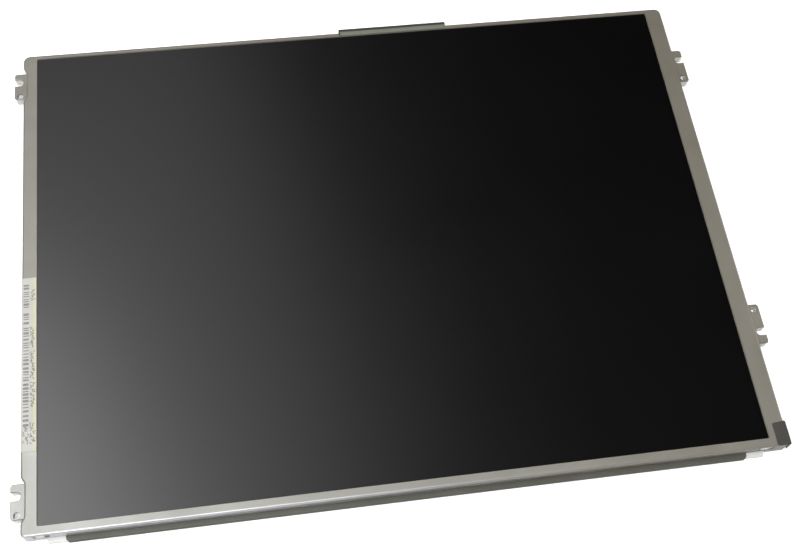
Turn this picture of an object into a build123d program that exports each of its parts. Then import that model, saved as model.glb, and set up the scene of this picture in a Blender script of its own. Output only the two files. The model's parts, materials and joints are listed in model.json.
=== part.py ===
from build123d import *
import math
import os

os.makedirs("parts", exist_ok=True)

# Picture area and the metal border round it
active_w = 245.76
active_h = 184.32
opening_margin = 1.5
rail_left = 5.45
rail_right = 6.75
rail_top = 1.95
rail_bottom = 3.35

# Bezel sheet
sheet_t = 0.4
bend_r = 0.8
opening_bevel = 0.2
opening_corner_r = 0.6
top_corner_r = 2.6
bottom_corner_r = 1.5

# Mounting ears
ear_drop = 1.5
ear_corner_r = 1.1
ear_edge_bevel = 0.2
ear_wall = 0.6
ear_block_low = 0.35
left_ear_reach = 3.6
right_ear_reach = 4.2
left_ear_arm = 4.2
left_ear_tail = 7.9
right_ear_arm = 4.8
right_ear_tail = 10.9
left_pin_step = 6.4
right_pin_step = 8.9
notch_w = 2.9
notch_depth = 3.4
pin_hole_r = 1.15
pin_hole_inset = 2.2
top_left_notch_drop = 11.5
bottom_left_notch_rise = 14.3
top_right_notch_drop = 26.0
lower_right_notch_rise = 43.7
recess_d = 1.2
recess_run = 1.9
recess_over = 1.6
recess_r = 2.4

# Layers, from the back to the front
cover_t = 0.12
part_gap = 0.08
tallest_part = 0.52
board_t = 0.4
insulator_t = 0.1
lamp_shell_t = 0.12
lamp_gap = 0.1
lamp_d = 1.8
guide_thick = 1.8
guide_thin = 0.6
reflector_t = 0.12
diffuser_t = 0.12
prism_t = 0.15
rear_polariser_t = 0.15
glass_t = 0.4
front_polariser_t = 0.2
gasket_t = 0.1
panel_gap = 0.05

# Margins and clearances
seat_gap = 0.04
side_gap = 0.15
sheet_margin = 0.5
polariser_overlap = 0.45
glass_border = 0.1
source_ledge = 1.5
gate_ledge = 2.4
frame_gap = 0.1
rib_t = 1.2

# Light guide and sheet locating tabs
tab_l = 6.0
tab_w = 0.9
sheet_tab_drop = 53.4
lug_drop = 31.4

# Driver films and chips
film_t = 0.1
film_gap = 0.03
film_lane = 0.5
film_bend_r = 0.45
source_count = 8
source_film_w = 14.0
source_chip_l = 12.0
source_chip_w = 1.3
chip_t = 0.4
film_bond_w = 1.9
gate_count = 3
gate_film_w = 16.0
gate_film_reach = 2.2
gate_chip_l = 11.0
gate_chip_w = 1.2

# Bottom flange that carries the films, and the dark cover over them
flange_reach = 1.9
flange_t = 1.2
left_flange_inset = 7.2
right_flange_inset = 8.1
left_cover_inset = 13.8
right_cover_inset = 15.0
cover_corner_r = 1.6
cover_gap = 0.15

# Driver board and what is on it
board_w = 15.0
board_inset = 2.3
board_rib_w = 3.0
board_screw_inset = 1.8
screw_r = 0.7
screw_head_r = 1.4
screw_head_t = 0.45
screw_l = 2.2
screw_slot_l = 1.7
screw_slot_w = 0.35
connector_inset = 80.2
connector_w = 24.0
connector_d = 4.4
connector_wall = 0.25
connector_end_wall = 0.5
connector_back_wall = 0.75
contact_count = 20
contact_w = 0.45
contact_t = 0.2
controller_x = 16.0
controller_size = 9.0
power_chip_inset = 42.2
power_chip_size = 5.0
gamma_chip_inset = 66.2
gamma_chip_l = 8.0
gamma_chip_w = 4.4
package_bevel = 0.13
capacitor_l = 1.6
capacitor_w = 0.8
capacitor_h = 0.42
capacitor_row = 3.2
capacitor_count = 14

# Lamp ends
lamp_end_inset = 2.0
holder_l = 4.0
holder_wall = 0.35
lead_notch_w = 2.8
lead_notch_h = 1.5

# Back of the frame
lip_w = 7.6
lightening_count = 9
lightening_roof = 0.6

# Catches between bezel and frame
left_window_inset = 6.4
right_window_inset = 8.1
corner_window_w = 5.3
corner_catch_w = 2.8
corner_catch_shift = 0.5
corner_catch_h = 1.95
corner_catch_low = 2.75
catch_h = 1.6
catch_low = 2.5
catch_gap = 0.25
side_catch_w = 6.0
side_catch_y = 12.0
top_catch_x = 72.0

# Tapes, gasket and label
top_gasket_x = 16.9
top_gasket_l = 44.0
top_gasket_reach = 1.5
top_gasket_leaf = 0.2
top_gasket_low = 1.6
top_gasket_r = 0.5
corner_tape_l = 8.0
corner_tape_w = 4.4
corner_tape_leaf = 0.25
corner_tape_bulge = 0.5
corner_tape_low = 0.9
corner_tape_inset = 0.1
corner_tape_r = 1.1
corner_tape_corner_r = 0.9
label_l = 65.0
label_ear_gap = 8.7
label_t = 0.1
label_inset = 0.12

# Outline, centred on the bezel
opening_w = active_w + 2 * opening_margin
opening_h = active_h + 2 * opening_margin
outline_w = opening_w + rail_left + rail_right
outline_h = opening_h + rail_top + rail_bottom
half_w = outline_w / 2
half_h = outline_h / 2
flange_l = -half_w + left_flange_inset
flange_r = half_w - right_flange_inset
cover_l = -half_w + left_cover_inset
cover_r = half_w - right_cover_inset
board_half = half_w - board_inset
view_x = (rail_left - rail_right) / 2
view_y = (rail_bottom - rail_top) / 2
open_l = view_x - opening_w / 2
open_r = view_x + opening_w / 2
open_b = view_y - opening_h / 2
open_t = view_y + opening_h / 2

# Heights worked out from the layers
board_low = cover_t + part_gap + tallest_part
board_top = board_low + board_t
insulator_top = board_top + insulator_t
lamp_z = insulator_top + seat_gap + lamp_shell_t + lamp_gap + lamp_d / 2
guide_low = lamp_z - guide_thick / 2
guide_top = lamp_z + guide_thick / 2
lower_diffuser_top = guide_top + diffuser_t
lower_prism_top = lower_diffuser_top + prism_t
upper_prism_top = lower_prism_top + prism_t
upper_diffuser_top = upper_prism_top + diffuser_t
array_low = upper_diffuser_top + panel_gap + rear_polariser_t
array_top = array_low + glass_t
filter_top = array_top + glass_t
polariser_top = filter_top + front_polariser_t
bezel_under = polariser_top + gasket_t
depth = bezel_under + sheet_t
frame_top = bezel_under - seat_gap
ear_top = depth - ear_drop
ear_under = ear_top - sheet_t
flange_low = cover_t + 2 * film_gap + film_t
flange_top = flange_low + flange_t
short_wall_low = flange_top + film_t + cover_t + cover_gap

# Places worked out from the margins
sheet_w = active_w + 2 * sheet_margin
sheet_h = active_h + 2 * sheet_margin
sheet_l = view_x - sheet_w / 2
sheet_r = view_x + sheet_w / 2
entry_y = view_y - sheet_h / 2
guide_end_y = view_y + sheet_h / 2
sheet_tab_y = guide_end_y - sheet_tab_drop
lug_y = guide_end_y - lug_drop
glass_over = polariser_overlap + glass_border
glass_l = open_l - glass_over
glass_r = open_r + glass_over
glass_b = open_b - glass_over
glass_far_y = open_t + glass_over
array_r = glass_r + gate_ledge
array_b = glass_b - source_ledge
lamp_y = entry_y - side_gap - lamp_d / 2
lamp_back_y = lamp_y - lamp_d / 2 - lamp_gap
lamp_l = -half_w + sheet_t + frame_gap + lamp_end_inset
lamp_r_end = half_w - sheet_t - frame_gap - lamp_end_inset
frame_inset = sheet_t + frame_gap
rail_out_y = -half_h + sheet_t + film_lane
flange_y = -half_h - flange_reach
film_drop_y = rail_out_y - film_gap - film_t / 2
film_out_y = flange_y - film_gap - film_t / 2
film_low_z = flange_low - film_gap - film_t / 2
cover_out_y = film_out_y - film_t / 2 - film_gap - cover_t / 2
cover_bend_r = film_bend_r + film_t / 2 + film_gap + cover_t / 2
flange_crease = film_bend_r - (2 - math.sqrt(2)) * (film_t / 2 + film_gap)
cover_reach = -half_h - (cover_out_y - cover_t / 2)
board_b = lamp_back_y - lamp_shell_t
board_far_y = board_b + board_w
board_screw_x = board_half - board_screw_inset
board_screw_y = (board_b + board_far_y) / 2
connector_x = -board_half + connector_inset
power_chip_x = -board_half + power_chip_inset
gamma_chip_x = board_half - gamma_chip_inset
holder_size = lamp_d + 2 * holder_wall
wedge_slope = (guide_thick - guide_thin) / (guide_end_y - entry_y)

# The origin is under the middle of the whole part
box_x = (right_ear_reach - left_ear_reach) / 2
box_y = (top_gasket_reach - cover_reach) / 2


def block(x0, x1, y0, y1, z0, z1):
    return Pos((x0 + x1) / 2, (y0 + y1) / 2, (z0 + z1) / 2) * Box(x1 - x0, y1 - y0, z1 - z0)


def across(points, x0, x1):
    # A profile of (y, z) points, run along X
    return extrude(Plane.YZ.offset(x0) * make_face(Polyline(*points, close=True)), x1 - x0)


def beside(points, distance):
    # Mitred points at a distance to the left of a run of points
    points = [Vector(*point) for point in points]
    ways = [(b - a).normalized() for a, b in zip(points, points[1:])]
    normals = [Vector(-way.Y, way.X) for way in ways]
    moved = [points[0] + normals[0] * distance]
    for point, before, after in zip(points[1:], normals, normals[1:]):
        moved.append(point + (before + after) * (distance / (1 + before.dot(after))))
    moved.append(points[-1] + normals[-1] * distance)
    return moved


def creased(points, radius):
    # A run of points with each bend cut to one straight facet
    points = [Vector(*point) for point in points]
    cut = [points[0]]
    for before, point, after in zip(points, points[1:], points[2:]):
        back = (before - point).normalized()
        onward = (after - point).normalized()
        run = radius / math.tan(math.radians(back.get_angle(onward) / 2))
        cut += [point + back * run, point + onward * run]
    return cut + [points[-1]]


def folded(points, thickness, plane, start, end):
    # A thin sheet with sharp folds, run along the plane's normal
    left = beside(points, thickness / 2)
    right = beside(points, -thickness / 2)
    face = make_face(Polyline(*left, *reversed(right), close=True))
    return extrude(plane.offset(start) * face, end - start)


def ribbon(points, radius, thickness, plane, start, end):
    # A thin sheet with rounded bends along its centre line, run along the plane's normal
    half = thickness / 2
    sides = []
    for distance in (half, -half):
        moved = beside(points, distance)
        radii = []
        for a, b, c in zip(points, points[1:], points[2:]):
            turn = (b[0] - a[0]) * (c[1] - b[1]) - (b[1] - a[1]) * (c[0] - b[0])
            radii.append(radius - distance if turn > 0 else radius + distance)
        sides.append(FilletPolyline(*moved, radius=radii))
    left, right = sides
    ends = [Line(left @ 0, right @ 0), Line(left @ 1, right @ 1)]
    face = make_face([*left.edges(), *right.edges(), *ends])
    return extrude(plane.offset(start) * face, end - start)


def export(node, solids):
    # One solid, or a list of like solids that share a node
    shift = Pos(-box_x, -box_y, 0)
    if isinstance(solids, list):
        shape = Compound(children=[shift * solid for solid in solids])
    else:
        shape = shift * solids
    export_step(shape, f"parts/{node}.step")


# One ear: its side, the height of its notch and the way from there to its pin hole
class Ear:
    def __init__(self, side, notch_y, pin_side):
        self.side = side
        self.notch_y = notch_y
        self.pin_side = pin_side
        left = side < 0
        self.recess = recess_d if left else 0
        self.reach = left_ear_reach if left else right_ear_reach
        arm = left_ear_arm if left else right_ear_arm
        tail = left_ear_tail if left else right_ear_tail
        self.pin_y = notch_y + pin_side * (left_pin_step if left else right_pin_step)
        self.tail_y = notch_y + pin_side * tail
        self.low, self.high = sorted([notch_y - pin_side * arm, self.tail_y])
        self.tip_x = side * (half_w + self.reach)
        self.pin_x = side * (half_w + self.reach - pin_hole_inset)

    def span(self, x_inner, x_outer):
        # Order two distances from the middle as low and high X on this side
        return sorted([self.side * x_inner, self.side * x_outer])

    def plan(self, inner, inset):
        # Ear outline with its open screw notch and its pin hole
        x0, x1 = self.span(inner, half_w + self.reach - inset)
        low = self.low + inset
        high = self.high - inset
        face = Pos((x0 + x1) / 2, (low + high) / 2) * Rectangle(x1 - x0, high - low)
        tips = [v for v in face.vertices() if abs(v.X - self.tip_x) < (x1 - x0) / 2]
        face = fillet(tips, ear_corner_r)
        slot_w = notch_w + 2 * inset
        slot_end = half_w + self.reach - notch_depth - inset
        n0, n1 = self.span(slot_end + slot_w / 2, half_w + self.reach + notch_w)
        face -= Pos((n0 + n1) / 2, self.notch_y) * Rectangle(n1 - n0, slot_w)
        face -= Pos(self.side * (slot_end + slot_w / 2), self.notch_y) * Circle(slot_w / 2)
        face -= Pos(self.pin_x, self.pin_y) * Circle(pin_hole_r)
        return face


ears = [
    Ear(-1, half_h - top_left_notch_drop, -1),
    Ear(-1, -half_h + bottom_left_notch_rise, -1),
    Ear(1, half_h - top_right_notch_drop, -1),
    Ear(1, -half_h + lower_right_notch_rise, 1),
]
label_ear = ears[1]


def outline():
    # Bezel outline, drawn in a little beside the left ears
    face = Rectangle(outline_w, outline_h)
    recess_points = []
    for ear in ears:
        if not ear.recess:
            continue
        edge = ear.side * half_w
        floor = ear.side * (half_w - ear.recess)
        mouth = [ear.low - recess_over, ear.high + recess_over]
        foot = [mouth[0] + recess_run, mouth[1] - recess_run]
        corners = [(edge, mouth[0]), (floor, foot[0]), (floor, foot[1]), (edge, mouth[1])]
        recess_points += corners
        face -= make_face(Polyline(*corners, close=True))

    def near(vertex, points):
        return any(abs(vertex.X - x) + abs(vertex.Y - y) < sheet_t for x, y in points)

    bends = [v for v in face.vertices() if near(v, recess_points)]
    face = fillet(bends, recess_r)
    tops = [(-half_w, half_h), (half_w, half_h)]
    feet = [(-half_w, -half_h), (half_w, -half_h)]
    face = fillet([v for v in face.vertices() if near(v, tops)], top_corner_r)
    return fillet([v for v in face.vertices() if near(v, feet)], bottom_corner_r)


bezel_outline = outline()


def inset_outline(distance):
    return offset(bezel_outline, -distance)


def catch_solids(window):
    # Catches of the frame, or the bezel's windows that they snap into
    grow = catch_gap if window else 0
    deep = frame_inset + frame_gap
    reach = frame_gap if window else -frame_gap
    solids = []
    # In the wider corner windows the catch sits to the left of the middle
    width = corner_window_w if window else corner_catch_w
    shift = 0 if window else corner_catch_shift
    z0 = corner_catch_low - grow
    z1 = corner_catch_low + corner_catch_h + grow
    back_y = rail_out_y + frame_gap
    for middle in (-half_w + left_window_inset, half_w - right_window_inset):
        x0 = middle - shift - width / 2
        solids.append(block(x0, x0 + width, -half_h - reach, back_y, z0, z1))
    z0 = catch_low - grow
    z1 = catch_low + catch_h + grow
    half = side_catch_w / 2 + grow
    for x in (-top_catch_x, top_catch_x):
        solids.append(block(x - half, x + half, half_h - deep, half_h + reach, z0, z1))
    for side in (-1, 1):
        x0, x1 = sorted([side * (half_w - deep), side * (half_w + reach)])
        solids.append(block(x0, x1, side_catch_y - half, side_catch_y + half, z0, z1))
    return solids


def lead_notch(x0, x1):
    # Way out for the lamp leads, at the lower right corner
    half = lead_notch_w / 2
    return block(x0, x1, lamp_y - half, lamp_y + half, lamp_z - lead_notch_h / 2, lamp_z + lead_notch_h / 2)


def ear_plate(ear):
    # Flat ear of the bezel sheet, its free edges softened
    inner = half_w - ear.recess - bend_r
    plate = extrude(Pos(0, 0, ear_under) * ear.plan(inner, 0), sheet_t)
    rim = plate.faces().sort_by(Axis.Z)[-1].edges()
    inner_x = ear.side * inner
    rim = [e for e in rim if abs(e.center().X - inner_x) > sheet_t and e.geom_type != GeomType.CIRCLE]
    return chamfer(rim, ear_edge_bevel)


def ear_pocket(ear):
    # Hollow under the pin hole, which leaves an even wall
    x0, x1 = ear.span(half_w - ear.recess + ear_wall, half_w + ear.reach - side_gap - ear_wall)
    near_notch = ear.notch_y + ear.pin_side * (notch_w / 2 + side_gap + ear_wall)
    near_tail = ear.tail_y - ear.pin_side * (side_gap + ear_wall)
    y0, y1 = sorted([near_notch, near_tail])
    return block(x0, x1, y0, y1, ear_block_low, ear_under - ear_wall)


def front_bezel():
    shell = extrude(bezel_outline, depth)
    shell = fillet(shell.faces().sort_by(Axis.Z)[-1].edges(), bend_r)
    for ear in ears:
        shell += ear_plate(ear)
    cavity = extrude(inset_outline(sheet_t), bezel_under)
    shell -= chamfer(cavity.faces().sort_by(Axis.Z)[-1].edges(), bend_r - sheet_t)
    low = RectangleRounded(opening_w, opening_h, opening_corner_r)
    high = RectangleRounded(
        opening_w + 2 * opening_bevel, opening_h + 2 * opening_bevel, opening_corner_r + opening_bevel
    )
    shell -= loft([Pos(view_x, view_y, bezel_under) * low, Pos(view_x, view_y, depth) * high])
    # The bottom wall stops short where the driver films come out
    shell -= block(flange_l, flange_r, -half_h - sheet_t, -half_h + frame_inset, 0, short_wall_low)
    for ear in ears:
        # The wall is open under each ear
        x0, x1 = ear.span(half_w - ear.recess - frame_inset, half_w + sheet_t)
        shell -= block(x0, x1, ear.low, ear.high, 0, ear_under)
    for window in catch_solids(True):
        shell -= window
    return shell - lead_notch(half_w - frame_inset, half_w + sheet_t)


def wedge_z(y):
    # Underside of the light guide at a height y up the panel
    return guide_low + (y - entry_y) * wedge_slope


def wedge_points(y0, y1, low_gap, high_z):
    return [(y0, wedge_z(y0) - low_gap), (y1, wedge_z(y1) - low_gap), (y1, high_z), (y0, high_z)]


def tabs(y, z0, z1, gap):
    # Locating tabs at both sides of a sheet or of the light guide
    half = tab_l / 2 + gap
    reach = sheet_w / 2 + tab_w + gap
    return block(view_x - reach, view_x + reach, y - half, y + half, z0, z1)


def source_x(index):
    pitch = active_w / source_count
    return view_x + (index - (source_count - 1) / 2) * pitch


def gate_y(index):
    pitch = active_h / gate_count
    return view_y + (index - (gate_count - 1) / 2) * pitch


def chip_pocket(index, gap):
    x = source_x(index)
    y = (film_drop_y + film_out_y) / 2
    half_l = source_chip_l / 2 + gap
    half_d = source_chip_w / 2 + gap
    return block(x - half_l, x + half_l, y - half_d, y + half_d, flange_top - chip_t - gap, flange_top)


def flange():
    # Rounded lip along the bottom edge, with its ends cut at a slant
    y0 = flange_y
    y1 = rail_out_y + rib_t / 2
    slant = flange_reach / 2
    points = [
        (flange_l + side_gap, y1),
        (flange_l + side_gap, -half_h),
        (flange_l + side_gap + slant, y0),
        (flange_r - side_gap - slant, y0),
        (flange_r - side_gap, -half_h),
        (flange_r - side_gap, y1),
    ]
    lip = extrude(Pos(0, 0, flange_low) * make_face(Polyline(*points, close=True)), flange_t)
    outer = [e for e in lip.edges().filter_by(Axis.X) if abs(e.center().Y - y0) < seat_gap]
    lip = chamfer(outer, flange_crease)
    for index in range(source_count):
        lip -= chip_pocket(index, seat_gap)
    return lip


def lightening_pockets():
    # Hollows between ribs on the back of the side and top lips
    window_l = sheet_l + lip_w
    window_r = sheet_r - lip_w
    y0 = board_far_y + board_rib_w + rib_t
    y1 = guide_end_y - lip_w
    step = (y1 - y0) / lightening_count
    sides = [(window_l - lip_w + rib_t, window_l - rib_t), (window_r + rib_t, window_r + lip_w - rib_t)]
    pockets = []
    for index in range(lightening_count):
        low = y0 + index * step
        high = low + step - rib_t
        roof = wedge_z(low) - reflector_t - 2 * seat_gap - lightening_roof
        for x0, x1 in sides:
            pockets.append(block(x0, x1, low, high, 0, roof))
    step = (window_r - window_l) / lightening_count
    roof = wedge_z(y1) - reflector_t - 2 * seat_gap - lightening_roof
    for index in range(lightening_count):
        x0 = window_l + index * step + rib_t / 2
        pockets.append(block(x0, x0 + step - rib_t, y1 + rib_t, guide_end_y - rib_t, 0, roof))
    return pockets


def mould_frame():
    frame = extrude(inset_outline(frame_inset), frame_top)
    frame = chamfer(frame.faces().sort_by(Axis.Z)[-1].edges(), bend_r - sheet_t)
    # Lane for the films between the bottom rail and the bezel wall
    frame -= block(flange_l, flange_r, -half_h, rail_out_y, 0, frame_top)
    frame += flange()
    for ear in ears:
        inner = half_w - ear.recess - frame_inset - rib_t
        frame += extrude(Pos(0, 0, ear_block_low) * ear.plan(inner, side_gap), ear_under - ear_block_low)
        frame -= ear_pocket(ear)
    # Glass pocket, open at the bottom for the source films
    pocket_l = glass_l - side_gap
    pocket_r = array_r + side_gap
    frame -= block(pocket_l, pocket_r, array_b - side_gap, glass_far_y + side_gap, array_low, frame_top)
    frame -= block(flange_l, flange_r, -half_h, array_b, array_low, frame_top)
    for catch in catch_solids(False):
        frame += catch
    for index in range(gate_count):
        half = gate_film_w / 2 + side_gap
        y = gate_y(index)
        x1 = array_r + gate_film_reach + side_gap
        frame -= block(array_r, x1, y - half, y + half, array_top, frame_top)
    # Pocket for the sheets and the wedge light guide
    guide_bed_l = sheet_l - side_gap
    guide_bed_r = sheet_r + side_gap
    pocket_b = lamp_back_y - lamp_shell_t - side_gap
    wedge = wedge_points(pocket_b, guide_end_y + side_gap, reflector_t + seat_gap, array_low)
    frame -= across(wedge, guide_bed_l, guide_bed_r)
    frame -= tabs(sheet_tab_y, guide_top, array_low, side_gap)
    frame -= tabs(lug_y, wedge_z(lug_y - tab_l) - seat_gap, array_low, side_gap)
    # Lamp ends, with a way out for the leads
    lamp_front = lamp_y + holder_size / 2 + seat_gap
    lamp_back = lamp_y - holder_size / 2 - seat_gap
    lamp_floor = lamp_z - holder_size / 2 - seat_gap
    bed_l = lamp_l - lamp_end_inset / 2
    bed_r = lamp_r_end + lamp_end_inset / 2
    frame -= block(bed_l, bed_r, lamp_back, lamp_front, lamp_floor, array_low)
    frame -= lead_notch(lamp_r_end, half_w)
    # Back window, board bay and the screw holes of the board
    bay_b = board_b - side_gap
    bay_t = board_far_y + side_gap
    window_b = bay_t + board_rib_w
    window_t = guide_end_y - lip_w
    frame -= block(sheet_l + lip_w, sheet_r - lip_w, window_b, window_t, 0, array_low)
    frame -= block(-board_half - side_gap, board_half + side_gap, bay_b, bay_t, 0, board_top)
    frame -= block(guide_bed_l, guide_bed_r, bay_b, bay_t, 0, guide_low)
    frame -= block(flange_l, flange_r, rail_out_y, bay_b, 0, board_low + film_gap)
    plug_l = connector_x - connector_w / 2 - rib_t
    plug_r = connector_x + connector_w / 2 + rib_t
    frame -= block(plug_l, plug_r, bay_t, bay_t + board_rib_w, 0, board_top)
    for side in (-1, 1):
        hole = Cylinder(screw_r, screw_l, align=(Align.CENTER, Align.CENTER, Align.MIN))
        frame -= Pos(side * board_screw_x, board_screw_y, board_top) * hole
    for pocket in lightening_pockets():
        frame -= pocket
    return frame


def sheet(z0, z1):
    plate = block(sheet_l, sheet_r, entry_y, guide_end_y, z0, z1)
    return plate + tabs(sheet_tab_y, z0, z1, 0)


def light_guide():
    wedge = across(wedge_points(entry_y, guide_end_y, 0, guide_top), sheet_l, sheet_r)
    return wedge + tabs(lug_y, wedge_z(lug_y + tab_l), guide_top, 0)


def reflector_sheet():
    points = [
        (entry_y, guide_low - reflector_t),
        (guide_end_y, wedge_z(guide_end_y) - reflector_t),
        (guide_end_y, wedge_z(guide_end_y)),
        (entry_y, guide_low),
    ]
    return across(points, sheet_l, sheet_r)


def front_gasket():
    over = 2 * polariser_overlap
    ring = Rectangle(opening_w + over, opening_h + over) - Rectangle(opening_w, opening_h)
    return extrude(Pos(view_x, view_y, polariser_top) * ring, gasket_t)


def lamp_shell():
    # Bent reflector, open towards the light guide
    front = entry_y - seat_gap
    low = lamp_z - lamp_d / 2 - lamp_gap - lamp_shell_t / 2
    high = lamp_z + lamp_d / 2 + lamp_gap + lamp_shell_t / 2
    back = lamp_back_y - lamp_shell_t / 2
    points = [(front, low), (back, low), (back, high), (front, high)]
    x0 = lamp_l + holder_l - lamp_end_inset / 2 + seat_gap
    x1 = lamp_r_end - holder_l + lamp_end_inset / 2 - seat_gap
    return ribbon(points, film_bend_r, lamp_shell_t, Plane.YZ, x0, x1)


def lamp_tube():
    tube = Cylinder(lamp_d / 2, lamp_r_end - lamp_l, rotation=(0, 90, 0))
    tube = chamfer(tube.edges().filter_by(GeomType.CIRCLE), lamp_d / 4)
    return Pos((lamp_l + lamp_r_end) / 2, lamp_y, lamp_z) * tube


def lamp_holder(side):
    # Rubber block pushed over one end of the lamp
    end = lamp_l if side < 0 else lamp_r_end
    outer = end + side * lamp_end_inset / 2
    x0, x1 = sorted([outer - side * seat_gap, outer - side * holder_l])
    size = holder_size / 2
    holder = block(x0, x1, lamp_y - size, lamp_y + size, lamp_z - size, lamp_z + size)
    holder = fillet(holder.edges().filter_by(Axis.X), holder_wall)
    bore = Cylinder(lamp_d / 2 + seat_gap, lamp_r_end - lamp_l + 2 * seat_gap, rotation=(0, 90, 0))
    return holder - Pos((lamp_l + lamp_r_end) / 2, lamp_y, lamp_z) * bore


def source_film(index):
    bond_y = board_b + film_bond_w
    board_z = board_low - film_t / 2
    ledge_z = array_top + film_t / 2
    lip_z = flange_top + film_gap + film_t / 2
    points = [
        (glass_b - side_gap, ledge_z),
        (film_drop_y, ledge_z),
        (film_drop_y, lip_z),
        (film_out_y, lip_z),
        (film_out_y, film_low_z),
        (rail_out_y, film_low_z),
        (board_b + seat_gap, board_z),
        (bond_y, board_z),
    ]
    x = source_x(index)
    half = source_film_w / 2
    return folded(creased(points, film_bend_r), film_t, Plane.YZ, x - half, x + half)


def gate_film(index):
    y = gate_y(index)
    half = gate_film_w / 2
    x0 = glass_r + side_gap
    return block(x0, array_r + gate_film_reach, y - half, y + half, array_top, array_top + film_t)


def gate_chip(index):
    y = gate_y(index)
    half = gate_chip_l / 2
    x = array_r + gate_film_reach / 2
    low = array_top + film_t
    return block(x - gate_chip_w / 2, x + gate_chip_w / 2, y - half, y + half, low, low + chip_t)


def connector_box(gap):
    half = connector_w / 2 + gap
    return half, board_far_y - connector_d - gap


def driver_board():
    board = block(-board_half, board_half, board_b, board_far_y, board_low, board_top)
    half, low_y = connector_box(side_gap)
    board -= block(connector_x - half, connector_x + half, low_y, board_far_y, board_low, board_top)
    hole = Cylinder(screw_r + seat_gap, board_t)
    for side in (-1, 1):
        board -= Pos(side * board_screw_x, board_screw_y, board_low + board_t / 2) * hole
    return board


def board_insulator():
    film = block(sheet_l, sheet_r, entry_y, board_far_y, board_top, insulator_top)
    slot, low_y = connector_box(side_gap)
    return film - block(connector_x - slot, connector_x + slot, low_y, board_far_y, board_top, insulator_top)


def board_connector():
    # Socket let into the edge of the board, open towards the panel's middle
    half, low_y = connector_box(0)
    z0 = cover_t + part_gap / 2
    body = block(connector_x - half, connector_x + half, low_y, board_far_y, z0, board_top)
    mouth = half - connector_end_wall
    return body - block(
        connector_x - mouth,
        connector_x + mouth,
        low_y + connector_back_wall,
        board_far_y,
        z0 + connector_wall,
        board_top - connector_wall,
    )


def connector_contacts():
    low_y = connector_box(0)[1]
    pitch = (connector_w - 2 * connector_back_wall) / contact_count
    z = (cover_t + part_gap / 2 + board_top) / 2
    contacts = []
    for index in range(contact_count):
        x = connector_x + (index - (contact_count - 1) / 2) * pitch
        y0 = low_y + connector_back_wall
        y1 = board_far_y - connector_back_wall
        x0 = x - contact_w / 2
        contacts.append(block(x0, x0 + contact_w, y0, y1, z - contact_t / 2, z + contact_t / 2))
    return contacts


def board_package(x, length, width, height):
    y = (board_b + film_bond_w + board_far_y) / 2
    part = block(x - length / 2, x + length / 2, y - width / 2, y + width / 2, board_low - height, board_low)
    return chamfer(part.faces().sort_by(Axis.Z)[0].edges(), package_bevel)


def board_capacitors():
    solids = []
    y = board_b + film_bond_w + capacitor_row
    first = gamma_chip_x + gamma_chip_l
    pitch = (board_screw_x - 2 * screw_head_r - first) / capacitor_count
    for index in range(capacitor_count):
        x = first + index * pitch
        row = y + (index % 2) * capacitor_row
        solids.append(block(x, x + capacitor_w, row, row + capacitor_l, board_low - capacitor_h, board_low))
    return solids


def board_screws():
    screws = []
    for side in (-1, 1):
        head = Cylinder(screw_head_r, screw_head_t, align=(Align.CENTER, Align.CENTER, Align.MAX))
        head = chamfer(head.edges().sort_by(Axis.Z)[0], screw_head_t / 2)
        shank_l = board_t + screw_l - seat_gap
        shank = Cylinder(screw_r - seat_gap / 2, shank_l, align=(Align.CENTER, Align.CENTER, Align.MIN))
        for turn in (0, 90):
            slot = Box(screw_slot_l, screw_slot_w, screw_head_t, rotation=(0, 0, turn))
            head -= Pos(0, 0, -screw_head_t) * slot
        screws.append(Pos(side * board_screw_x, board_screw_y, board_low) * (head + shank))
    return screws


def bottom_cover():
    # Dark film over the driver films, folded round the lip and over the board
    lip_z = flange_top + 2 * film_gap + film_t + cover_t / 2
    points = [
        (-half_h - seat_gap, lip_z),
        (cover_out_y, lip_z),
        (cover_out_y, cover_t / 2),
        (board_far_y - seat_gap, cover_t / 2),
    ]
    cover = ribbon(points, cover_bend_r, cover_t, Plane.YZ, cover_l, cover_r)
    # Its corners are rounded, at the fold too
    front_y = cover_out_y - cover_t / 2
    plan = RectangleRounded(cover_r - cover_l, board_far_y - front_y, cover_corner_r)
    cover &= extrude(Pos((cover_l + cover_r) / 2, (front_y + board_far_y) / 2) * plan, lip_z + cover_t)
    half, low_y = connector_box(rib_t)
    return cover - block(connector_x - half, connector_x + half, low_y, board_far_y, 0, cover_t)


def bend_section(edge, face_z):
    # Section of the bezel's bent edge, as (distance, z)
    body = Pos(edge / 2, face_z / 2) * Rectangle(edge, face_z)
    corner = [v for v in body.vertices() if abs(v.X - edge) + abs(v.Y - face_z) < sheet_t]
    return fillet(corner, bend_r)


def wrap_section(start, edge, reach, leaf, low, radius):
    # Section of a strip folded over a bent edge
    x1 = edge + reach
    z1 = depth + leaf
    strip = Pos((start + x1) / 2, (low + z1) / 2) * Rectangle(x1 - start, z1 - low)
    corner = [v for v in strip.vertices() if abs(v.X - x1) + abs(v.Y - z1) < sheet_t]
    strip = fillet(corner, radius)
    return strip - bend_section(edge, depth)


def top_gasket():
    section = wrap_section(
        open_t + opening_bevel, half_h, top_gasket_reach, top_gasket_leaf, top_gasket_low, top_gasket_r
    )
    x0 = top_gasket_x - top_gasket_l / 2
    return extrude(Plane.YZ.offset(x0) * section, top_gasket_l)


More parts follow.
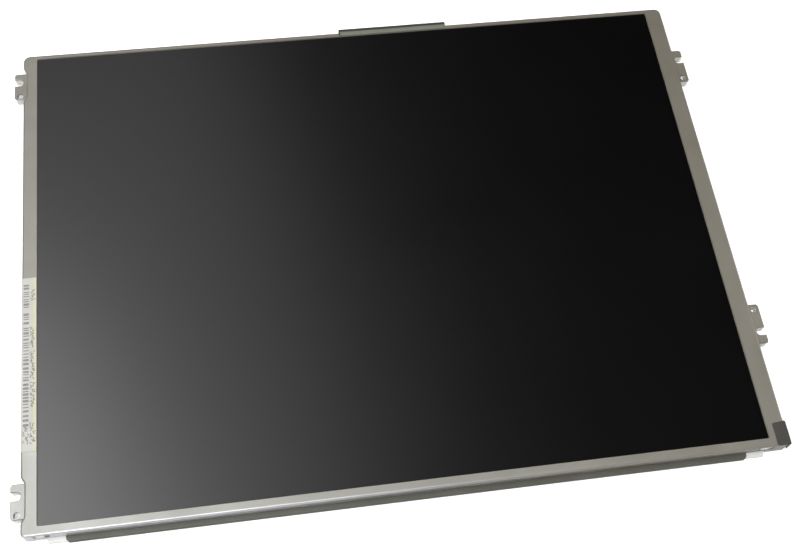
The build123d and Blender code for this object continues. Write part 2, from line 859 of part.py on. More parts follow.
def corner_tape():
    section = wrap_section(
        half_w - corner_tape_w, half_w, corner_tape_bulge, corner_tape_leaf, corner_tape_low, corner_tape_r
    )
    y0 = -half_h + corner_tape_inset
    strip = extrude(Plane.XZ.offset(-y0 - corner_tape_l) * section, corner_tape_l)
    width = corner_tape_w + corner_tape_bulge
    plan = RectangleRounded(width, corner_tape_l, corner_tape_corner_r)
    plan_x = half_w + corner_tape_bulge - width / 2
    return strip & extrude(Pos(plan_x, y0 + corner_tape_l / 2) * plan, depth + corner_tape_leaf)


def side_label():
    top = depth + label_t / 2
    edge = -half_w - label_t / 2
    points = [(open_l - opening_bevel - label_inset, top), (edge, top), (edge, depth - bend_r - label_t)]
    low_y = label_ear.high + recess_over + label_ear_gap
    return ribbon(points, bend_r + label_t / 2, label_t, Plane.XZ, -low_y - label_l, -low_y)


panel_l = view_x - (opening_w / 2 + polariser_overlap)
panel_r = view_x + (opening_w / 2 + polariser_overlap)
panel_b = open_b - polariser_overlap
panel_t = open_t + polariser_overlap

nodes = {
    "front_bezel": front_bezel(),
    "mould_frame": mould_frame(),
    "front_gasket": front_gasket(),
    "front_polariser": block(panel_l, panel_r, panel_b, panel_t, filter_top, polariser_top),
    "filter_glass": block(glass_l, glass_r, glass_b, glass_far_y, array_top, filter_top),
    "array_glass": block(glass_l, array_r, array_b, glass_far_y, array_low, array_top),
    "rear_polariser": block(sheet_l, sheet_r, entry_y, guide_end_y, array_low - rear_polariser_t, array_low),
    "upper_diffuser": sheet(upper_prism_top, upper_diffuser_top),
    "upper_prism_sheet": sheet(lower_prism_top, upper_prism_top),
    "lower_prism_sheet": sheet(lower_diffuser_top, lower_prism_top),
    "lower_diffuser": sheet(guide_top, lower_diffuser_top),
    "light_guide": light_guide(),
    "reflector_sheet": reflector_sheet(),
    "lamp_tube": lamp_tube(),
    "lamp_reflector": lamp_shell(),
    "lamp_holder_left": lamp_holder(-1),
    "lamp_holder_right": lamp_holder(1),
    "driver_board": driver_board(),
    "board_insulator": board_insulator(),
    "board_connector": board_connector(),
    "connector_contacts": connector_contacts(),
    "timing_chip": board_package(controller_x, controller_size, controller_size, tallest_part),
    "power_chip": board_package(power_chip_x, power_chip_size, power_chip_size, tallest_part),
    "gamma_chip": board_package(gamma_chip_x, gamma_chip_l, gamma_chip_w, tallest_part),
    "board_capacitors": board_capacitors(),
    "board_screws": board_screws(),
    "bottom_cover": bottom_cover(),
    "corner_tape": corner_tape(),
    "top_gasket": top_gasket(),
    "side_label": side_label(),
}
for index in range(source_count):
    nodes[f"source_film_{index + 1}"] = source_film(index)
    nodes[f"source_chip_{index + 1}"] = chip_pocket(index, 0)
for index in range(gate_count):
    nodes[f"gate_film_{index + 1}"] = gate_film(index)
    nodes[f"gate_chip_{index + 1}"] = gate_chip(index)

for node, shape in nodes.items():
    export(node, shape)
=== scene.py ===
import json
import math
import random

import bpy
from mathutils import Matrix, Vector

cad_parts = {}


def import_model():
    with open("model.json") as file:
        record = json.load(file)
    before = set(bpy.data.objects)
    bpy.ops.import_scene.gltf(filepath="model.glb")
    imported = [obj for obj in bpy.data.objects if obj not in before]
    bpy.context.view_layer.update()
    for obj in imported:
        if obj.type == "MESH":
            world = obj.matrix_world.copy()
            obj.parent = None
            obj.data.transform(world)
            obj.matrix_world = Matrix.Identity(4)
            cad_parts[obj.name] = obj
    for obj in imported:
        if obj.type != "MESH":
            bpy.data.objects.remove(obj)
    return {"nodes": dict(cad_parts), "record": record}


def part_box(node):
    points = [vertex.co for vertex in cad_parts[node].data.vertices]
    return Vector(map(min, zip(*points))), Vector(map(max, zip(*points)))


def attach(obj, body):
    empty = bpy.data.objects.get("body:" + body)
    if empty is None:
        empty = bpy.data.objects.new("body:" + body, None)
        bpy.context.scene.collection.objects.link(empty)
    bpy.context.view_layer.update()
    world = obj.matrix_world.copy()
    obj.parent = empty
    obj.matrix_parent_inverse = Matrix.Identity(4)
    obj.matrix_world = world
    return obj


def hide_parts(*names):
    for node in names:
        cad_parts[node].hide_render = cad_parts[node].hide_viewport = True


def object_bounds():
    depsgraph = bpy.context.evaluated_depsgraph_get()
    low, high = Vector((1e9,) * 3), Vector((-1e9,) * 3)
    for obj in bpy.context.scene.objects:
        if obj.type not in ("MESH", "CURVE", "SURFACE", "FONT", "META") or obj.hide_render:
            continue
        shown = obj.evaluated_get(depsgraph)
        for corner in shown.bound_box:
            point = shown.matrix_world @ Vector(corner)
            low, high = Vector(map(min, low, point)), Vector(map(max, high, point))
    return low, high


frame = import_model()
cad_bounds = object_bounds()
nodes = frame["nodes"]

# Units and the photograph's frame
MM = 0.001
IMAGE_W = 800
SENSOR_W = 36.0

# Camera, from the straight edges of the screen opening and of the outline
CAMERA_PLACE = (-41.87 * MM, -198.76 * MM, 378.34 * MM)
CAMERA_TURN = (26.618, -3.132, -7.935)
FOCAL_PX = 1142.6

# Lamps: place, size, radiance and tint. The two overhead strips lean to the left
STRIP_LEAN = math.radians(17)
KEY_PLACE = (-0.398, -0.123, 1.136)
KEY_SIZE = (0.466, 1.423)
KEY_RADIANCE = 6.01
SPILL_PLACE = (-0.317, 0.476, 1.136)
SPILL_SIZE = (0.693, 1.04)
SPILL_RADIANCE = 1.33
FRONT_PLACE = (-0.341, -0.72, 0.82)
FRONT_SIZE = (0.42, 0.75)
FRONT_RADIANCE = 4.15
FRONT_TINT = (0.92, 0.94, 1.0)
FILL_PLACE = (0.950, 0.05, 0.260)
FILL_SIZE = (0.7, 0.9)
FILL_RADIANCE = 1.60
FILL_TINT = (1.0, 0.93, 0.82)
WORLD_LEVEL = 0.019
FLOOR_SIZE = 60.0
FLOOR_COLOUR = (0.9, 0.9, 0.9)
FLOOR_LIFT = 0.5
FLOOR_FAR = (0.5, 2.5)
FLOOR_SHEEN = 0.1

# Main finishes. A mask goes from its first place or turn to its second
STEEL_COLOUR = (0.211, 0.193, 0.154)
# Colour of the painted highlight on the bottom fold
STEEL_PAINTED_HIGHLIGHT = (0.60, 0.595, 0.60)
STEEL_TINT = (0.93, 0.98, 1.0)
STEEL_METALLIC = 0.069
STEEL_IOR = 2.30
STEEL_ROUGH = 0.344
STEEL_ANISO = 0.784
# Painted shade: bends turned towards the top edge are darkened, and made rougher, from the first turn to
# the second
STEEL_DULL_SHADE_TURN = (0.1, 0.45)
# Painted highlight: the fold along the bottom edge is lightened, from the first place to the second,
# strongest at the left
STEEL_HIGHLIGHT_FOLD = (0.78 * MM, 0.55 * MM)
STEEL_HIGHLIGHT_X = (70 * MM, -70 * MM)
SCREEN_ROUGH = 0.284
# Painted shade on the gasket where it folds over the top edge
GASKET_SHADE_FOLD = (-1.6 * MM, -1.1 * MM)
GASKET_END = (0.9 * MM, 0.2 * MM)
LABEL_STAIN = (-1.5 * MM, -0.5 * MM)

# Label print: stretches of bars and of strokes, as shares of the label's length from its top
INK_T = 0.015 * MM
PRINT_SEED = 7
BARS_X = (0.8 * MM, 2.75 * MM)
BARS = ((0.04, 0.18), (0.215, 0.27), (0.30, 0.78), (0.80, 0.855))
BAR_SIZES = (0.4 * MM, 0.4 * MM, 0.7 * MM, 0.9 * MM)
BAR_GAPS = (0.4 * MM, 0.5 * MM, 0.8 * MM)
STROKES_X = (3.2 * MM, 4.6 * MM)
STROKES = ((0.075, 0.136), (0.30, 0.42), (0.44, 0.60), (0.62, 0.757), (0.846, 0.96))
TAIL_STROKES = ((0.865, 0.955),)
STROKE_SIZE = (0.3 * MM, 0.95 * MM)
STROKE_STEP = 0.62 * MM
STROKE_TURNS = (0, 35, 90, 90, 145)

# Gasket: cuts along it, radius of its fold and of its inner edge, height and length of its waves
GASKET_CUTS = 70
GASKET_ROUND = 0.5 * MM
GASKET_EDGE_R = 0.08 * MM
GASKET_WAVE = 0.10 * MM
GASKET_WAVE_L = 4 * MM

# Corner pad: wall beside the bezel, radii, and how its top edge slants and passes the CAD node
PAD_WALL = 0.5 * MM
PAD_CORNER = 0.9 * MM
PAD_ROUND = 0.2 * MM
PAD_SLANT = 0.45 * MM
PAD_REACH = 0.7 * MM

# Selecting and smoothing
TOUCH = 0.01 * MM
EMPTY_FACE = 0.005 * MM
SMOOTH_BELOW = math.radians(40)


def deselect():
    if bpy.context.object and bpy.context.object.mode != "OBJECT":
        bpy.ops.object.mode_set(mode="OBJECT")
    bpy.ops.object.select_all(action="DESELECT")


def choose(*pieces):
    """Selects pieces alone, the first of them active."""
    deselect()
    for piece in pieces:
        piece.select_set(True)
    bpy.context.view_layer.objects.active = pieces[0]


def settle(piece, name, material, slot, *replaced):
    """Puts a finished piece's place in its mesh, then names, paints and seats it."""
    choose(piece)
    bpy.ops.object.transform_apply(location=True, rotation=True, scale=True)
    piece.name = name
    piece.data.name = name
    piece.data.materials.clear()
    piece.data.materials.append(material)
    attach(piece, "root")
    if replaced:
        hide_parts(*replaced)


def new_block(low, high):
    """A cube between two corners, its place already in its mesh."""
    deselect()
    low, high = Vector(low), Vector(high)
    bpy.ops.mesh.primitive_cube_add(size=1, location=(low + high) / 2)
    piece = bpy.context.object
    piece.scale = high - low
    bpy.ops.object.transform_apply(location=True, rotation=False, scale=True)
    return piece


def pick(piece, kind, test):
    """Goes to edit mode with only the vertices, edges or faces selected that pass a test.

    The test takes the middle of each and its normal, or an edge's direction.
    """
    bpy.ops.object.mode_set(mode="OBJECT")
    mesh = piece.data
    for group in (mesh.vertices, mesh.edges, mesh.polygons):
        group.foreach_set("select", [False] * len(group))
    if kind == "FACE":
        for face in mesh.polygons:
            face.select = test(face.center, face.normal)
    elif kind == "EDGE":
        for edge in mesh.edges:
            start, end = (mesh.vertices[index].co for index in edge.vertices)
            edge.select = test((start + end) / 2, (end - start).normalized())
    else:
        for vertex in mesh.vertices:
            vertex.select = test(vertex.co, vertex.normal)
    bpy.context.tool_settings.mesh_select_mode = [kind == mode for mode in ("VERT", "EDGE", "FACE")]
    bpy.ops.object.mode_set(mode="EDIT")


def near(value, wanted):
    return abs(value - wanted) < TOUCH


def split_level(piece, z):
    """Cuts a piece's faces at a height, and keeps what is on both sides."""
    pick(piece, "FACE", lambda middle, normal: True)
    bpy.ops.mesh.bisect(plane_co=(0, 0, z), plane_no=(0, 0, 1))


def smooth(piece):
    choose(piece)
    bpy.ops.object.shade_smooth_by_angle(angle=SMOOTH_BELOW)


# Node groups for effects that several finishes share
def new_group(name, inputs, outputs):
    group = bpy.data.node_groups.new(name, "ShaderNodeTree")
    for socket, kind, default in inputs:
        made = group.interface.new_socket(socket, in_out="INPUT", socket_type=kind)
        made.default_value = default
    for socket, kind in outputs:
        group.interface.new_socket(socket, in_out="OUTPUT", socket_type=kind)
    return group, group.nodes.new("NodeGroupInput"), group.nodes.new("NodeGroupOutput")


def rolled_grain():
    """Fine lines along Y, as rolling leaves them on sheet metal."""
    group, given, result = new_group(
        "rolled grain",
        [
            ("Vector", "NodeSocketVector", (0, 0, 0)),
            ("Scale", "NodeSocketFloat", 1.0),
            ("Stretch", "NodeSocketFloat", 40.0),
        ],
        [("Lines", "NodeSocketFloat")],
    )
    ratio = group.nodes.new("ShaderNodeMath")
    ratio.operation = "DIVIDE"
    ratio.inputs[0].default_value = 1.0
    group.links.new(given.outputs["Stretch"], ratio.inputs[1])
    squeeze = group.nodes.new("ShaderNodeCombineXYZ")
    squeeze.inputs["X"].default_value = 1.0
    squeeze.inputs["Z"].default_value = 1.0
    group.links.new(ratio.outputs[0], squeeze.inputs["Y"])
    along = group.nodes.new("ShaderNodeVectorMath")
    along.operation = "MULTIPLY"
    group.links.new(given.outputs["Vector"], along.inputs[0])
    group.links.new(squeeze.outputs[0], along.inputs[1])
    noise = group.nodes.new("ShaderNodeTexNoise")
    noise.inputs["Detail"].default_value = 3.0
    group.links.new(along.outputs[0], noise.inputs["Vector"])
    group.links.new(given.outputs["Scale"], noise.inputs["Scale"])
    group.links.new(noise.outputs["Fac"], result.inputs["Lines"])
    return group


def soft_patches():
    """A slow change between two levels, for smudges and uneven finish."""
    group, given, result = new_group(
        "soft patches",
        [
            ("Vector", "NodeSocketVector", (0, 0, 0)),
            ("Scale", "NodeSocketFloat", 60.0),
            ("Low", "NodeSocketFloat", 0.0),
            ("High", "NodeSocketFloat", 1.0),
        ],
        [("Level", "NodeSocketFloat")],
    )
    noise = group.nodes.new("ShaderNodeTexNoise")
    noise.inputs["Detail"].default_value = 4.0
    noise.inputs["Roughness"].default_value = 0.55
    spread = group.nodes.new("ShaderNodeMapRange")
    spread.inputs["From Min"].default_value = 0.3
    spread.inputs["From Max"].default_value = 0.7
    group.links.new(given.outputs["Vector"], noise.inputs["Vector"])
    group.links.new(given.outputs["Scale"], noise.inputs["Scale"])
    group.links.new(noise.outputs["Fac"], spread.inputs["Value"])
    group.links.new(given.outputs["Low"], spread.inputs["To Min"])
    group.links.new(given.outputs["High"], spread.inputs["To Max"])
    group.links.new(spread.outputs["Result"], result.inputs["Level"])
    return group


def moulded_skin():
    """Fine spark-eroded texture of moulded plastic, as a height."""
    group, given, result = new_group(
        "moulded skin",
        [("Vector", "NodeSocketVector", (0, 0, 0)), ("Scale", "NodeSocketFloat", 6000.0)],
        [("Height", "NodeSocketFloat")],
    )
    cells = group.nodes.new("ShaderNodeTexVoronoi")
    cells.feature = "SMOOTH_F1"
    noise = group.nodes.new("ShaderNodeTexNoise")
    blend = group.nodes.new("ShaderNodeMath")
    blend.operation = "ADD"
    for texture in (cells, noise):
        group.links.new(given.outputs["Vector"], texture.inputs["Vector"])
        group.links.new(given.outputs["Scale"], texture.inputs["Scale"])
    group.links.new(cells.outputs["Distance"], blend.inputs[0])
    group.links.new(noise.outputs["Fac"], blend.inputs[1])
    group.links.new(blend.outputs[0], result.inputs["Height"])
    return group


GRAIN = rolled_grain()
PATCHES = soft_patches()
SKIN = moulded_skin()


class Finish:
    """One material while it is wired: its shader, and the piece's own coordinates."""

    def __init__(self, name, roughness=0.5, metallic=0.0, **sockets):
        self.material = bpy.data.materials.new(name)
        self.material.use_nodes = True
        self.tree = self.material.node_tree
        self.shader = self.tree.nodes["Principled BSDF"]
        self.shader.inputs["Roughness"].default_value = roughness
        self.shader.inputs["Metallic"].default_value = metallic
        for socket, value in sockets.items():
            self.shader.inputs[socket.replace("_", " ")].default_value = value
        self.coords = self.tree.nodes.new("ShaderNodeTexCoord").outputs["Object"]

    def node(self, kind, **values):
        made = self.tree.nodes.new(kind)
        for key, value in values.items():
            setattr(made, key, value)
        return made

    def link(self, source, target):
        self.tree.links.new(source, target)

    def effect(self, group, vector=None, **values):
        made = self.node("ShaderNodeGroup", node_tree=group)
        for key, value in values.items():
            made.inputs[key].default_value = value
        self.link(vector or self.coords, made.inputs["Vector"])
        return made.outputs[0]

    def blend(self, factor, low, high):
        """A colour between two others, each a value or another node's output."""
        mix = self.node("ShaderNodeMix", data_type="RGBA")
        for socket, colour in (("A", low), ("B", high)):
            if isinstance(colour, bpy.types.NodeSocket):
                self.link(colour, mix.inputs[socket])
            else:
                mix.inputs[socket].default_value = (*colour, 1)
        self.link(factor, mix.inputs["Factor"])
        return mix.outputs["Result"]

    def colours(self, factor, low, high):
        """Base colour between two colours, by a factor."""
        self.link(self.blend(factor, low, high), self.shader.inputs["Base Color"])

    def rough(self, level):
        self.link(level, self.shader.inputs["Roughness"])

    def maths(self, operation, first, second, third=None):
        made = self.node("ShaderNodeMath", operation=operation)
        for socket, value in zip(made.inputs, (first, second, third)):
            if isinstance(value, bpy.types.NodeSocket):
                self.link(value, socket)
            elif value is not None:
                socket.default_value = value
        return made.outputs[0]

    def span(self, value, start, end):
        """A level that goes from 0 to 1 as a value goes from start to end."""
        reach = self.node("ShaderNodeMapRange", interpolation_type="SMOOTHSTEP")
        reach.inputs["From Min"].default_value = start
        reach.inputs["From Max"].default_value = end
        self.link(value, reach.inputs["Value"])
        return reach.outputs["Result"]

    def share(self, vector, axis):
        split = self.node("ShaderNodeSeparateXYZ")
        self.link(vector, split.inputs[0])
        return split.outputs[axis]

    def place(self, axis, start, end):
        """A level that goes from 0 to 1 between two places on an axis."""
        return self.span(self.share(self.coords, axis), start, end)

    def facing(self, axis, start, end):
        """A level that goes from 0 to 1 as the surface turns towards an axis."""
        normal = self.node("ShaderNodeNewGeometry").outputs["Normal"]
        return self.span(self.share(normal, axis), start, end)

    def bump(self, height, distance, strength=1.0):
        made = self.node("ShaderNodeBump")
        made.inputs["Distance"].default_value = distance
        made.inputs["Strength"].default_value = strength
        self.link(height, made.inputs["Height"])
        previous = self.shader.inputs["Normal"]
        if previous.is_linked:
            self.link(previous.links[0].from_socket, made.inputs["Normal"])
        self.link(made.outputs["Normal"], self.shader.inputs["Normal"])


def shade(colour, share):
    return tuple(share * part for part in colour)


def bezel_steel():
    """Dull tin-plated sheet, with rolling lines, handling marks, painted shade on its top bends and a
    painted highlight on its bottom fold.
    """
    finish = Finish("bezel_steel", IOR=STEEL_IOR, Anisotropic=STEEL_ANISO, Specular_Tint=(*STEEL_TINT, 1))
    # The sheet was rolled along Y, so it scatters light wider along X
    across = finish.node("ShaderNodeTangent", direction_type="RADIAL", axis="Y")
    finish.link(across.outputs["Tangent"], finish.shader.inputs["Tangent"])
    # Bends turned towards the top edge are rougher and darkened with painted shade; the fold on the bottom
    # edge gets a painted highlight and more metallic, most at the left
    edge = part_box("front_bezel")[0].y
    dull_and_painted_shade = finish.facing("Y", *STEEL_DULL_SHADE_TURN)
    fold = finish.place("Y", *(edge + part for part in STEEL_HIGHLIGHT_FOLD))
    painted_highlight = finish.maths("MULTIPLY", fold, finish.place("X", *STEEL_HIGHLIGHT_X))
    marks = finish.effect(PATCHES, Scale=55.0)
    sheet = finish.blend(marks, shade(STEEL_COLOUR, 0.94), shade(STEEL_COLOUR, 1.06))
    folded = finish.blend(painted_highlight, sheet, STEEL_PAINTED_HIGHLIGHT)
    # Painted shade darkens the bends turned towards the top edge
    finish.colours(dull_and_painted_shade, folded, shade(STEEL_COLOUR, 0.4))
    shine = finish.maths("MULTIPLY_ADD", painted_highlight, 0.6, STEEL_METALLIC)
    finish.link(shine, finish.shader.inputs["Metallic"])
    polish = finish.effect(PATCHES, Scale=90.0, Low=STEEL_ROUGH - 0.05, High=STEEL_ROUGH + 0.05)
    finish.rough(finish.maths("MULTIPLY_ADD", dull_and_painted_shade, 0.45, polish))
    finish.bump(finish.effect(GRAIN, Scale=4500.0, Stretch=30.0), 0.003 * MM, 0.5)
    return finish.material


def frame_white():
    """White moulded plastic."""
    finish = Finish("frame_white", roughness=0.5)
    tone = finish.effect(PATCHES, Scale=40.0)
    finish.colours(tone, (0.80, 0.79, 0.75), (0.85, 0.845, 0.81))
    finish.bump(finish.effect(SKIN, Scale=5000.0), 0.006 * MM, 0.6)
    return finish.material


def screen_film():
    """Black screen under an anti-glare film."""
    finish = Finish("screen_film", IOR=1.5)
    depth = finish.effect(PATCHES, Scale=25.0)
    finish.colours(depth, (0.0006, 0.0006, 0.0007), (0.0010, 0.0010, 0.0011))
    finish.rough(finish.effect(PATCHES, Scale=14.0, Low=SCREEN_ROUGH - 0.01, High=SCREEN_ROUGH + 0.01))
    finish.bump(finish.effect(SKIN, Scale=22000.0), 0.001 * MM, 0.15)
    return finish.material


def plain_plastic(name, low, high, roughness, scale=60.0):
    """A moulded or cast finish with a slight change of tone."""
    finish = Finish(name, roughness=roughness)
    finish.colours(finish.effect(PATCHES, Scale=scale), low, high)
    finish.bump(finish.effect(SKIN, Scale=6000.0), 0.004 * MM, 0.4)
    return finish.material


def plain_metal(name, low, high, level):
    """A bare metal with rolling lines."""
    finish = Finish(name, metallic=1.0)
    finish.colours(finish.effect(PATCHES, Scale=120.0), low, high)
    finish.rough(finish.effect(PATCHES, Scale=200.0, Low=level, High=level + 0.1))
    finish.bump(finish.effect(GRAIN, Scale=5000.0), 0.002 * MM, 0.4)
    return finish.material


def clear_sheet(name, tint, roughness):
    """Glass or acrylic, seen only at its edges."""
    finish = Finish(name, IOR=1.5, Transmission_Weight=1.0)
    finish.colours(finish.effect(PATCHES, Scale=30.0), tint, tuple(min(1.0, part * 1.04) for part in tint))
    finish.rough(finish.effect(PATCHES, Scale=50.0, Low=roughness, High=roughness + 0.04))
    return finish.material


def woven_cloth():
    """Conductive cloth over foam: a fine plain weave, with painted shade where it folds down over the top
    edge, and dark at its cut end.
    """
    finish = Finish("gasket_cloth", roughness=0.55, metallic=0.35)
    low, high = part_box("top_gasket")
    threads = []
    for direction in ("X", "Y"):
        wave = finish.node("ShaderNodeTexWave", wave_type="BANDS", bands_direction=direction)
        wave.inputs["Scale"].default_value = 900.0
        finish.link(finish.coords, wave.inputs["Vector"])
        threads.append(wave.outputs["Fac"])
    weave = finish.maths("MAXIMUM", *threads)
    cloth = finish.blend(weave, (0.16, 0.163, 0.132), (0.25, 0.254, 0.21))
    # Painted shade where the cloth folds down over the top edge
    fold = finish.place("Y", *(high.y + part for part in GASKET_SHADE_FOLD))
    end = finish.place("X", *(low.x + part for part in GASKET_END))
    finish.colours(finish.maths("MAXIMUM", fold, end), cloth, (0.055, 0.058, 0.045))
    finish.bump(weave, 0.02 * MM, 0.5)
    return finish.material


def cover_film_finish():
    """Dark matte film, a little uneven where it is stuck down."""
    finish = Finish("cover_grey")
    finish.colours(finish.effect(PATCHES, Scale=80.0), (0.085, 0.084, 0.068), (0.105, 0.104, 0.085))
    finish.rough(finish.effect(PATCHES, Scale=120.0, Low=0.52, High=0.66))
    finish.bump(finish.effect(PATCHES, Scale=260.0), 0.03 * MM, 0.5)
    return finish.material


def paper():
    """Label paper with a faint fibre, yellowed by its glue along the inner edge."""
    finish = Finish("label_paper", roughness=0.62)
    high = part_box("side_label")[1]
    fibre = finish.effect(PATCHES, Scale=300.0)
    sheet = finish.blend(fibre, (0.56, 0.55, 0.50), (0.62, 0.61, 0.565))
    side = finish.place("X", *(high.x + part for part in LABEL_STAIN))
    patches = finish.effect(PATCHES, Scale=140.0, Low=0.45, High=1.0)
    finish.colours(finish.maths("MULTIPLY", side, patches), sheet, (0.66, 0.66, 0.42))
    finish.bump(finish.effect(PATCHES, Scale=2500.0), 0.004 * MM, 0.5)
    return finish.material


MATERIALS = {
    "bezel_steel": bezel_steel(),
    "frame_white": frame_white(),
    "screen_film": screen_film(),
    "inner_film": plain_plastic("inner_film", (0.08, 0.08, 0.09), (0.11, 0.11, 0.12), 0.35),
    "panel_glass": clear_sheet("panel_glass", (0.80, 0.86, 0.83), 0.02),
    "diffuser_film": plain_plastic("diffuser_film", (0.84, 0.84, 0.82), (0.88, 0.88, 0.86), 0.45),
    "guide_acrylic": clear_sheet("guide_acrylic", (0.90, 0.94, 0.94), 0.03),
    "reflector_white": plain_plastic("reflector_white", (0.80, 0.80, 0.79), (0.86, 0.86, 0.85), 0.3, 18.0),
    "lamp_glass": plain_plastic("lamp_glass", (0.86, 0.86, 0.84), (0.90, 0.90, 0.88), 0.2),
    "lamp_foil": plain_metal("lamp_foil", (0.82, 0.82, 0.81), (0.88, 0.88, 0.87), 0.2),
    "holder_rubber": plain_plastic("holder_rubber", (0.72, 0.71, 0.68), (0.78, 0.77, 0.74), 0.6),
    "board_green": plain_plastic("board_green", (0.025, 0.15, 0.065), (0.04, 0.20, 0.09), 0.35),
    "driver_film": plain_plastic("driver_film", (0.38, 0.19, 0.04), (0.46, 0.25, 0.06), 0.28),
    "chip_black": plain_plastic("chip_black", (0.022, 0.022, 0.023), (0.032, 0.032, 0.033), 0.5),
    "connector_cream": plain_plastic("connector_cream", (0.68, 0.63, 0.51), (0.74, 0.69, 0.57), 0.45),
    "contact_brass": plain_metal("contact_brass", (0.74, 0.56, 0.22), (0.82, 0.64, 0.28), 0.25),
    "capacitor_tan": plain_plastic("capacitor_tan", (0.42, 0.31, 0.19), (0.52, 0.40, 0.26), 0.4),
    "screw_steel": plain_metal("screw_steel", (0.48, 0.48, 0.49), (0.56, 0.56, 0.57), 0.3),
    "cover_grey": cover_film_finish(),
    "corner_black": plain_plastic("corner_black", (0.050, 0.048, 0.043), (0.066, 0.064, 0.057), 0.6),
    "gasket_cloth": woven_cloth(),
    "label_paper": paper(),
}
INK = plain_plastic("label_ink", (0.20, 0.20, 0.195), (0.29, 0.29, 0.28), 0.5, 900.0)

for part in frame["record"]["subparts"]:
    node = nodes[part["node"]]
    node.data.materials.clear()
    node.data.materials.append(MATERIALS[part["material_slot"]])


def ink_mark():
    """One printed mark of unit size: a flat plate with softened corners."""
    deselect()
    bpy.ops.mesh.primitive_plane_add(size=1)
    mark = bpy.context.object
    bpy.ops.object.mode_set(mode="EDIT")
    bpy.ops.mesh.select_all(action="SELECT")
    bpy.ops.mesh.bevel(offset=0.12, segments=1, affect="VERTICES")
    bpy.ops.mesh.select_all(action="SELECT")
    bpy.ops.mesh.extrude_region_move(TRANSFORM_OT_translate={"value": (0, 0, 1)})
    bpy.ops.mesh.select_all(action="SELECT")
    bpy.ops.mesh.normals_make_consistent(inside=False)
    bpy.ops.object.mode_set(mode="OBJECT")
    return mark


def label_print():
    """Plain bars along the label's outer half, and short strokes along its inner half."""
    draw = random.Random(PRINT_SEED)
    low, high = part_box("side_label")
    length = high.y - low.y
    mark = ink_mark()
    marks = []

    def stamp(x, y, width, tall, turn=0):
        made = mark.copy()
        made.data = mark.data.copy()
        made.location = (x, y, high.z)
        made.scale = (width, tall, INK_T)
        made.rotation_euler.z = math.radians(turn)
        bpy.context.collection.objects.link(made)
        marks.append(made)

    def strokes(stretches, columns):
        for first, last in stretches:
            y = high.y - length * first
            while y > high.y - length * last:
                x = low.x + draw.uniform(*columns)
                stamp(x, y, *STROKE_SIZE, draw.choice(STROKE_TURNS))
                y -= STROKE_STEP * draw.uniform(0.35, 1.0)

    for first, last in BARS:
        y = high.y - length * first
        while y > high.y - length * last:
            bar = draw.choice(BAR_SIZES)
            stamp(low.x + sum(BARS_X) / 2, y - bar / 2, BARS_X[1] - BARS_X[0], bar)
            y -= bar + draw.choice(BAR_GAPS)
    strokes(STROKES, STROKES_X)
    strokes(TAIL_STROKES, BARS_X)
    bpy.data.objects.remove(mark)
    choose(*marks)
    bpy.ops.object.join()
    settle(marks[0], "label_print", INK, "label_paper")


def soft_gasket():
    """Cloth-covered foam strip, folded over the top edge of the bezel."""
    low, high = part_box("top_gasket")
    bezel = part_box("front_bezel")[1]
    strip = new_block((low.x, bezel.y, low.z), high)
    split_level(strip, bezel.z)
    pick(strip, "FACE", lambda middle, normal: normal.y < -0.5 and middle.z > bezel.z)
    bpy.ops.mesh.extrude_region_move(TRANSFORM_OT_translate={"value": (0, low.y - bezel.y, 0)})
    # The fold is round, and the cut edges are soft
    for edge_y, offset, segments in ((high.y, GASKET_ROUND, 4), (low.y, GASKET_EDGE_R, 2)):
        corner = Vector((0, edge_y, high.z))
        pick(strip, "EDGE", lambda middle, way: abs(way.x) > 0.5 and near((middle - corner).yz.length, 0))
        bpy.ops.mesh.bevel(offset=offset, segments=segments, affect="EDGES")
    pick(strip, "EDGE", lambda middle, way: abs(way.x) > 0.5)
    bpy.ops.mesh.subdivide(number_cuts=GASKET_CUTS)
    bpy.ops.object.mode_set(mode="OBJECT")
    waves = bpy.data.textures.new("gasket_waves", "CLOUDS")
    waves.noise_scale = GASKET_WAVE_L
    swell = strip.modifiers.new("swell", "DISPLACE")
    swell.texture = waves
    swell.texture_coords = "LOCAL"
    swell.mid_level = 1.0
    swell.strength = GASKET_WAVE
    bpy.ops.object.modifier_apply(modifier=swell.name)
    smooth(strip)
    settle(strip, "gasket_sleeve", MATERIALS["gasket_cloth"], "gasket_cloth", "top_gasket")


def corner_pad():
    """Soft black pad stuck round the lower right corner, its top edge cut at a slant."""
    low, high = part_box("corner_tape")
    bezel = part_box("front_bezel")[1]
    side_x = high.x - PAD_WALL
    top_y = high.y + PAD_REACH
    pad = new_block((side_x, low.y, low.z), (high.x, top_y, high.z))
    split_level(pad, bezel.z)
    pick(pad, "FACE", lambda middle, normal: normal.x < -0.5 and middle.z > bezel.z)
    bpy.ops.mesh.extrude_region_move(TRANSFORM_OT_translate={"value": (low.x - side_x, 0, 0)})
    pick(pad, "VERT", lambda point, normal: near(point.y, top_y) and point.x < side_x - MM)
    bpy.ops.transform.translate(value=(0, -PAD_SLANT, 0))
    pick(pad, "EDGE", lambda middle, way: abs(way.z) > 0.5 and not near(middle.x, side_x))
    bpy.ops.mesh.bevel(offset=PAD_CORNER, segments=5, affect="EDGES", clamp_overlap=True)
    pick(pad, "EDGE", lambda middle, way: near(middle.z, high.z) and abs(way.z) < 0.1)
    bpy.ops.mesh.bevel(offset=PAD_ROUND, segments=3, affect="EDGES", clamp_overlap=True)
    # Where a bevel took up a whole side, its empty faces go
    bpy.ops.mesh.select_all(action="SELECT")
    bpy.ops.mesh.dissolve_degenerate(threshold=EMPTY_FACE)
    bpy.ops.object.mode_set(mode="OBJECT")
    smooth(pad)
    settle(pad, "corner_pad", MATERIALS["corner_black"], "corner_black", "corner_tape")


label_print()
soft_gasket()
corner_pad()


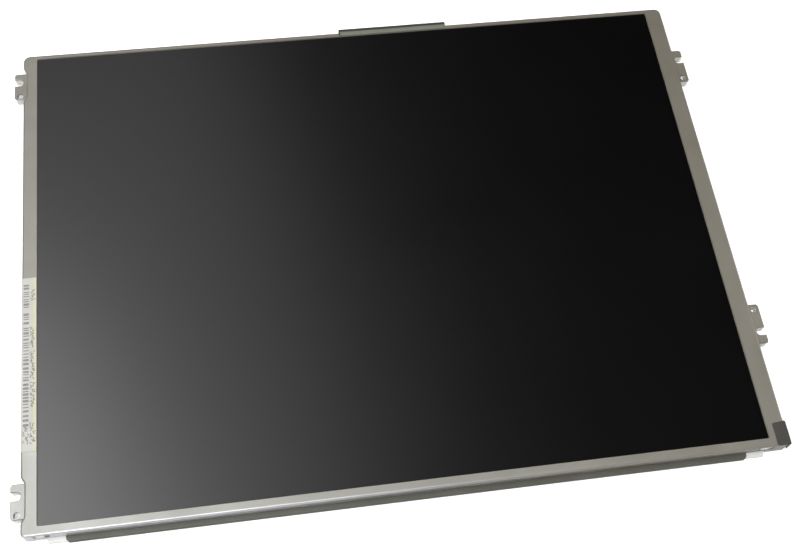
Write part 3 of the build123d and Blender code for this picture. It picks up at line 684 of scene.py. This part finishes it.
def area_lamp(name, place, size, radiance, tint, lean=0.0):
    """A soft rectangular lamp that faces the panel. Its power follows from its radiance."""
    deselect()
    bpy.ops.object.light_add(type="AREA", location=place)
    lamp = bpy.context.object
    lamp.name = name
    lamp.data.shape = "RECTANGLE"
    lamp.data.size = size[0]
    lamp.data.size_y = size[1]
    lamp.data.energy = radiance * math.pi * size[0] * size[1]
    lamp.data.color = tint
    # Its length lies towards the panel's top edge, or leans from there to the left
    back = Vector(place).normalized()
    side = Vector((-math.sin(lean), math.cos(lean), 0)).cross(back).normalized()
    lamp.rotation_euler = Matrix((side, back.cross(side), back)).transposed().to_euler()
    lamp.visible_camera = False


def floor():
    """Pale floor: it takes the panel's shadow, and is white to the camera away from it."""
    deselect()
    bpy.ops.mesh.primitive_plane_add(size=FLOOR_SIZE, location=(0, 0, cad_bounds[0].z))
    ground = bpy.context.object
    ground.name = "floor"
    finish = Finish("floor_white", roughness=1.0, Specular_IOR_Level=0.0)
    finish.shader.inputs["Base Color"].default_value = (*FLOOR_COLOUR, 1)
    finish.shader.inputs["Emission Color"].default_value = (1, 1, 1, 1)
    ray = finish.node("ShaderNodeLightPath").outputs
    mirrored = finish.maths("MAXIMUM", ray["Is Glossy Ray"], ray["Is Transmission Ray"])
    sheen = finish.maths("MULTIPLY", mirrored, FLOOR_SHEEN)
    # Far from the lamps it needs more lift to stay white
    spread = finish.node("ShaderNodeVectorMath", operation="LENGTH")
    finish.link(finish.coords, spread.inputs[0])
    far = finish.span(spread.outputs["Value"], *FLOOR_FAR)
    white = finish.maths("MULTIPLY_ADD", far, 1.0 - FLOOR_LIFT, FLOOR_LIFT)
    lift = finish.maths("MULTIPLY_ADD", ray["Is Camera Ray"], white, sheen)
    finish.link(lift, finish.shader.inputs["Emission Strength"])
    ground.data.materials.append(finish.material)


def world():
    """Dim surroundings, and plain white where the camera sees past the floor."""
    made = bpy.data.worlds.new("studio")
    made.use_nodes = True
    tree = made.node_tree
    background = tree.nodes["Background"]
    background.inputs["Color"].default_value = (1, 1, 1, 1)
    path = tree.nodes.new("ShaderNodeLightPath")
    level = tree.nodes.new("ShaderNodeMath")
    level.operation = "MAXIMUM"
    level.inputs[1].default_value = WORLD_LEVEL
    tree.links.new(path.outputs["Is Camera Ray"], level.inputs[0])
    tree.links.new(level.outputs[0], background.inputs["Strength"])
    bpy.context.scene.world = made


def camera():
    deselect()
    bpy.ops.object.camera_add(location=CAMERA_PLACE, rotation=[math.radians(turn) for turn in CAMERA_TURN])
    eye = bpy.context.object
    eye.data.sensor_width = SENSOR_W
    eye.data.lens = FOCAL_PX * SENSOR_W / IMAGE_W
    eye.data.clip_start = 0.01
    eye.data.clip_end = 100.0
    bpy.context.scene.camera = eye


area_lamp("key_lamp", KEY_PLACE, KEY_SIZE, KEY_RADIANCE, (1, 1, 1), STRIP_LEAN)
area_lamp("spill_lamp", SPILL_PLACE, SPILL_SIZE, SPILL_RADIANCE, (1, 1, 1), STRIP_LEAN)
area_lamp("front_lamp", FRONT_PLACE, FRONT_SIZE, FRONT_RADIANCE, FRONT_TINT)
area_lamp("fill_lamp", FILL_PLACE, FILL_SIZE, FILL_RADIANCE, FILL_TINT)
floor()
world()
camera()
bpy.context.scene.view_settings.view_transform = "Standard"
